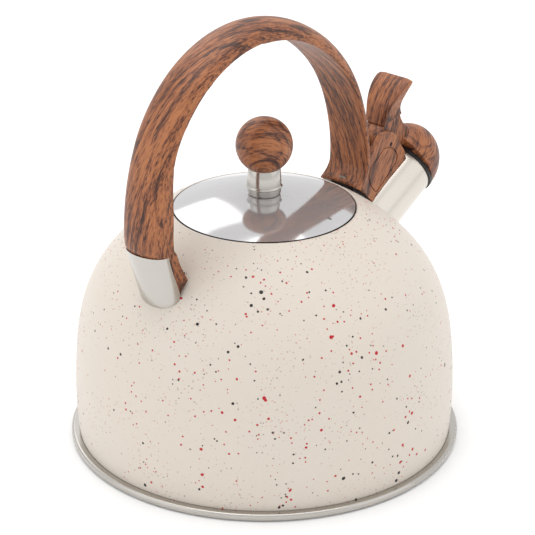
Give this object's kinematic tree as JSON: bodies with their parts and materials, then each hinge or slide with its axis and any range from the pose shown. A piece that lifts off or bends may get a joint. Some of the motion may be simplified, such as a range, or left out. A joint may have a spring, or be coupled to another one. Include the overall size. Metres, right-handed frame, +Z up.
{
  "type": "stovetop whistling kettle",
  "caption": "Domed enamelled stovetop kettle with an arched wood-grain handle, lift-off lid with a ball knob, and a short spout under a sprung whistling cap with a thumb plate.",
  "frame": {"origin": "centre of the flat underside that the kettle stands on, on the body's axis", "axes": "+Z up along the body's axis, +X towards the spout, handle in the XZ plane"},
  "size_m": [0.2445, 0.21, 0.2349],
  "materials": {
    "enamel": "satin enamel with fine specks",
    "steel": "polished stainless steel",
    "spreader": "milled",
    "silicone": "matt",
    "wood_grain": "satin nylon with a printed wood grain",
    "brass": "turned",
    "spring_steel": "drawn wire"
  },
  "bodies": {
    "kettle": {"body_shell": "enamel", "base_pan": "steel", "heat_spreader": "spreader", "base_cover": "steel", "spout_tube": "steel", "handle": "wood_grain", "rear_bracket": "steel", "heel_boss": "steel", "heel_screw": "steel", "saddle_lug": "steel", "saddle_pin": "steel", "saddle_pad": "silicone", "hinge_pin": "steel", "torsion_spring": "spring_steel"},
    "lid": {"lid_disc": "steel", "lid_skirt": "steel", "lid_seal": "silicone", "knob_ferrule": "steel", "knob_ball": "wood_grain", "knob_insert": "brass", "knob_washer": "steel", "knob_screw": "steel"},
    "cap": {"cap_lever": "wood_grain", "cap_gasket": "silicone", "whistle_plate": "steel", "whistle_cup": "steel"}
  },
  "joints": [
    {"name": "lid_lift", "type": "slide", "parent": "kettle", "child": "lid", "axis": [0, 0, 1], "range_m": [0, 0.035]},
    {"name": "cap_hinge", "type": "hinge", "parent": "kettle", "child": "cap", "pos_m": [0.09331, 0, 0.14029], "axis": [0, -1, 0], "range_deg": [0, 42], "stiffness_Nm_per_rad": 0.06, "springref_deg": -45.84, "deforming": ["torsion_spring"]}
  ]
}
